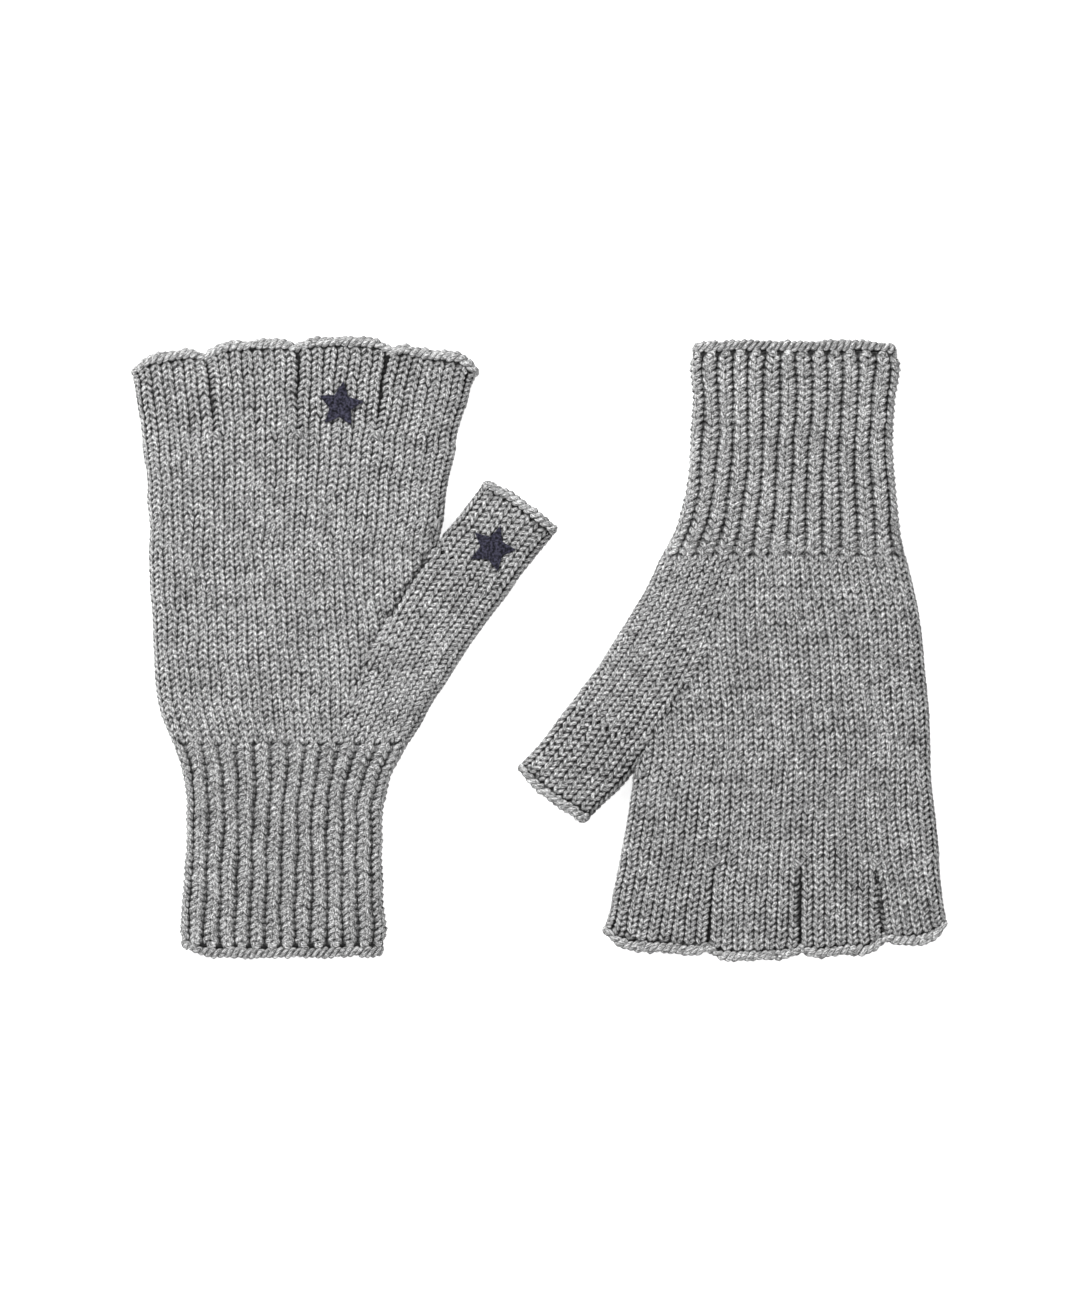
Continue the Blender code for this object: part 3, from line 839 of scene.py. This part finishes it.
def make_finger(side, index):
    _, tips, rounding = FINGERS[index]
    left_tip, right_tip = tips[side]
    slits = SLITS[side]
    anchor, slope = finger_hinge(side, index)
    left_slit = slits[index - 1] if index else OUTER_SIDES[side][0]
    right_slit = slits[index] if index < 3 else OUTER_SIDES[side][1]

    def station(left_v, right_v, gap):
        left = slit_u(left_slit, left_v) + (gap / 2 if index else 0)
        right = slit_u(right_slit, right_v) - (gap / 2 if index < 3 else 0)
        return (left, left_v), (right, right_v)

    bases = [KNUCKLE_LINE + (slit[0] - anchor) * slope for slit in (left_slit, right_slit)]
    low, high = station(*bases, -2.5), station(left_tip, right_tip, -1.8)
    length = (left_tip + right_tip - sum(bases)) / 2
    # Sides pressed against a neighbour have tight corners, and Tube.shadow paints shade on them.
    corners = (FOLD if index == 0 else 0.8, FOLD if index == 3 else 0.8)
    tube = Tube((0.0, length), (low[0], high[0]), (low[1], high[1]),
                tilt_mouth(length * 0.4, length, np.array((0.0, 1.0)), rounding, 0.2), corners)
    # The wales start in line with the hand's, and shift into line with the slits.
    half = float(tube.half(np.array([0.0]))[0])
    wales = 2 * round(half / FINGER_WALE)
    hand = hand_tube(side)
    hand_pitch = float(hand.half(np.array([HAND_TOP]))[0]) / (HAND_WALES / 2)
    middle = (low[0][0] + low[1][0]) / 2
    there = (middle - hand.lefts[-1][0] - INSET - FOLD + QUARTER) / hand_pitch
    here = (middle - low[0][0] - INSET - corners[0] + tube.fold(corners[0])) / (2 * half / wales)
    shift = (here - there + 0.5) % 1.0 - 0.5
    rows = round((length - RIM_FOOT) / FINGER_COURSE)
    return make_stub(tube, Mesh(side, 400 + index), Mesh(side, 410 + index), rows, 0.0, 0.4, -0.2,
                     wales, 401 + index, shift * np.linspace(1, 0, rows) ** 1.5)


def cuff_tube(side):
    first = 2 * ("left", "right").index(side) + 1
    v, left, right = sides_of(CUFF_SIDES, first, first + 1)
    return Tube(v, np.column_stack((left, v)), np.column_stack((right, v)), lifted_corner(side))


def make_cuff(side):
    tube = cuff_tube(side)
    mesh = Mesh(side, 500)
    low, high = 4.9, CUFF_TOP - 0.1
    spacing = (high - low) / CUFF_ROWS
    rib(mesh, tube, low + spacing * (np.arange(CUFF_ROWS) + 0.5), spacing, 501)
    c = np.linspace(1.3, high, 30)
    lift = -1.95 + 0.75 * np.clip((4.6 - c) / 2.0, 0, 1)
    mesh.shell(tube, c, lift=lift, wall=0.4, ring=64)
    edge = Mesh(side, 510)
    rope_edge(edge, tube, 1.65, **CUFF_RIM)
    bump_row(edge, tube, 4.2)
    return mesh, edge


def make_darn(side, centre, turn, seed):
    """Short crossing ends of darning yarn that close a crotch."""
    mesh = Mesh(side, seed)
    t = np.linspace(0, 1, 16)
    arch = np.sin(math.pi * t)
    for slope, reach, shift in ((0.75, 1.8, -0.7), (-0.9, 1.6, 0.5), (2.4, 1.3, 0.1)):
        x = reach * (2 * t - 1)
        bow = 0.35 * arch
        a = turn + slope
        path = np.column_stack((centre[0] + x * math.cos(a) - bow * math.sin(a) + shift,
                                centre[1] + x * math.sin(a) + bow * math.cos(a),
                                9.1 + 0.85 * arch))
        up = np.tile((0.0, 0.0, 1.0), (len(t), 1))
        # The darns get a fixed, fairly low level, so a dark painted shade.
        mesh.strand(settle(path, side), up, np.full(len(t), 0.4), False, wide=0.6, tall=0.5)
    return mesh


def make_star(name, centre, turn, material):
    """A felt star with a softened edge, lying on the knit."""
    corners = []
    for corner in range(10):
        angle = math.radians(90 + 36 * corner + turn)
        size = STAR_WAIST if corner % 2 else STAR_RADIUS
        corners.append(np.array((centre[0] + size * math.cos(angle),
                                 centre[1] + size * math.sin(angle))))
    outline = np.vstack([corners[k] + (corners[(k + 1) % 10] - corners[k]) * step / 6
                         for k in range(10) for step in range(6)])
    layers = [(share, 0.0) for share in np.linspace(0.12, 0.97, 9)] + [(1.0, 0.18), (1.0, 0.42)]
    layers += [(share, STAR_THICKNESS) for share in np.linspace(0.96, 0.12, 9)]
    middle = np.array(centre)
    rings = [np.column_stack((middle + (outline - middle) * share,
                              np.full(len(outline), height))) for share, height in layers]
    points = np.vstack([*rings, (*centre, 0.0), (*centre, STAR_THICKNESS)])
    rise = points[:, 2] + 0.10 * np.sin(points[:, 0] * 1.9) * np.sin(points[:, 1] * 3.1)
    on_knit = np.full(len(points), 9.9)
    flat = settle(np.column_stack((points[:, :2], on_knit)), "left")
    points = to_world(np.column_stack((flat[:, :2], flat[:, 2] + rise)), "left")
    size, last = len(outline), len(layers) * len(outline)
    faces = []
    for k in range(size):
        after = (k + 1) % size
        faces.append((last, after, k))
        faces.append((last + 1, last - size + k, last - size + after))
        for ring in range(len(layers) - 1):
            row = ring * size
            faces.append((row + k, row + after, row + size + after, row + size + k))
    mesh = bpy.data.meshes.new(name)
    mesh.from_pydata(points.tolist(), [], faces)
    mesh.shade_smooth()
    mesh.materials.append(material)
    return add_object(name, mesh)


def publish(mesh, name, materials, node):
    """The finished piece, standing for its node of the frame."""
    piece = mesh.build(name, materials)
    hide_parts(node)
    return piece


def make_glove(side):
    def body(part):
        return f"{side}_{part}"

    mid, low = {"left": (0.35, 0.07), "right": (0.32, 0.06)}[side]
    # The linings' greys, darker than the wool, are partly painted shade for the gaps between
    # stitches; the rib lining is darkest, for the shaded valleys between the ribs.
    yarns = [wool(f"{side}_jersey", 0.94, mid, low), lining(f"{side}_lining", 0.28)]
    ribs = [wool(f"{side}_rib", 0.90, 0.29, 0.055), lining(f"{side}_rib_lining", 0.14)]
    for part, make in (("hand", make_hand), ("thumb_gusset", make_gusset)):
        piece = publish(make(side), f"{side}_{part}_knit", yarns, f"{side}_{part}")
        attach(piece, body("hand"))

    stub, edge = make_thumb(side)
    thumb = publish(stub, f"{side}_thumb_knit", yarns, f"{side}_thumb_stub")
    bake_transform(thumb)
    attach(publish(edge, f"{side}_thumb_rim", yarns, f"{side}_thumb_edge"),
            body("thumb"))

    for index, (name, *_) in enumerate(FINGERS):
        stub, edge = make_finger(side, index)
        piece = publish(stub, f"{side}_{name}_knit", yarns, f"{side}_{name}_stub")
        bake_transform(piece)
        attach(publish(edge, f"{side}_{name}_rim", yarns, f"{side}_{name}_edge"),
                body(f"{name}_finger"))

    knit, edge = make_cuff(side)
    piece = publish(knit, f"{side}_cuff_knit", ribs, f"{side}_cuff")
    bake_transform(piece)
    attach(publish(edge, f"{side}_cuff_rim", ribs, f"{side}_cuff_edge"), body("cuff"))

    places = [((slit[0], HAND_TOP - 0.5), 0.0, 613, f"crotch_darn_{number}")
              for number, slit in enumerate(SLITS[side], 1)]
    places.append((tuple(thumb_point(-2.0, -3.5)), -LEAN, 610, "thumb_darn"))
    for centre, turn, seed, name in places:
        darn = make_darn(side, centre, turn, seed)
        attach(publish(darn, f"{side}_{name}_yarn", yarns, f"{side}_{name}"),
                body("hand"))


def make_stars():
    navy = felt("star_felt")
    finger = make_star("star_finger_felt", (17.6, 165.9), -8, navy)
    thumb = make_star("star_thumb_felt", (63.1, 123.3), -24, navy)
    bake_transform(finger)
    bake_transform(thumb)
    for star, node, under in ((finger, "star_finger", "left_middle_knit"),
                              (thumb, "star_thumb", "left_thumb_knit")):
        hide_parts(node)


# ---------------------------------------------------------------- camera, floor and light

def make_camera():
    """A camera straight above the pair."""
    height, glove_top = 1.6, 0.009
    view_height = 0.3888       # at the top of the gloves
    data = bpy.data.cameras.new("camera")
    data.sensor_width = 36.0
    data.sensor_fit = "AUTO"
    data.lens = data.sensor_width * (height - glove_top) / view_height
    camera = add_object("camera", data)
    camera.location = (0.0006, 0.00035, height)
    bpy.context.scene.camera = camera


def make_stage():
    mesh = bpy.data.meshes.new("floor")
    size = 6.0
    mesh.from_pydata([(-size, -size, 0), (size, -size, 0), (size, size, 0), (-size, size, 0)],
                     [], [(0, 1, 2, 3)])
    paper, _, _, shader = textile("paper", 0.9)
    shader.inputs["Base Color"].default_value = (*grey(0.85), 1)
    shader.inputs["Emission Color"].default_value = (*grey(1.0), 1)
    shader.inputs["Emission Strength"].default_value = 0.75
    mesh.materials.append(paper)
    add_object("floor", mesh)


def make_lights():
    studio = bpy.data.worlds.new("studio")
    studio.use_nodes = True
    background = studio.node_tree.nodes["Background"]
    background.inputs["Color"].default_value = (*grey(1.0), 1)
    background.inputs["Strength"].default_value = 0.35
    bpy.context.scene.world = studio
    for name, place, size, power in (("key", (-0.75, 0.85, 1.35), 0.5, 30.0),
                                     ("fill", (0.9, -0.7, 1.5), 1.2, 6.0)):
        data = bpy.data.lights.new(name, "AREA")
        data.size = size
        data.energy = power
        light = add_object(name, data)
        light.location = place
        light.rotation_euler = (-Vector(place)).to_track_quat("-Z", "Y").to_euler()
    bpy.context.scene.view_settings.view_transform = "Standard"


make_camera()
make_stage()
make_lights()
make_glove("left")
make_glove("right")
make_stars()
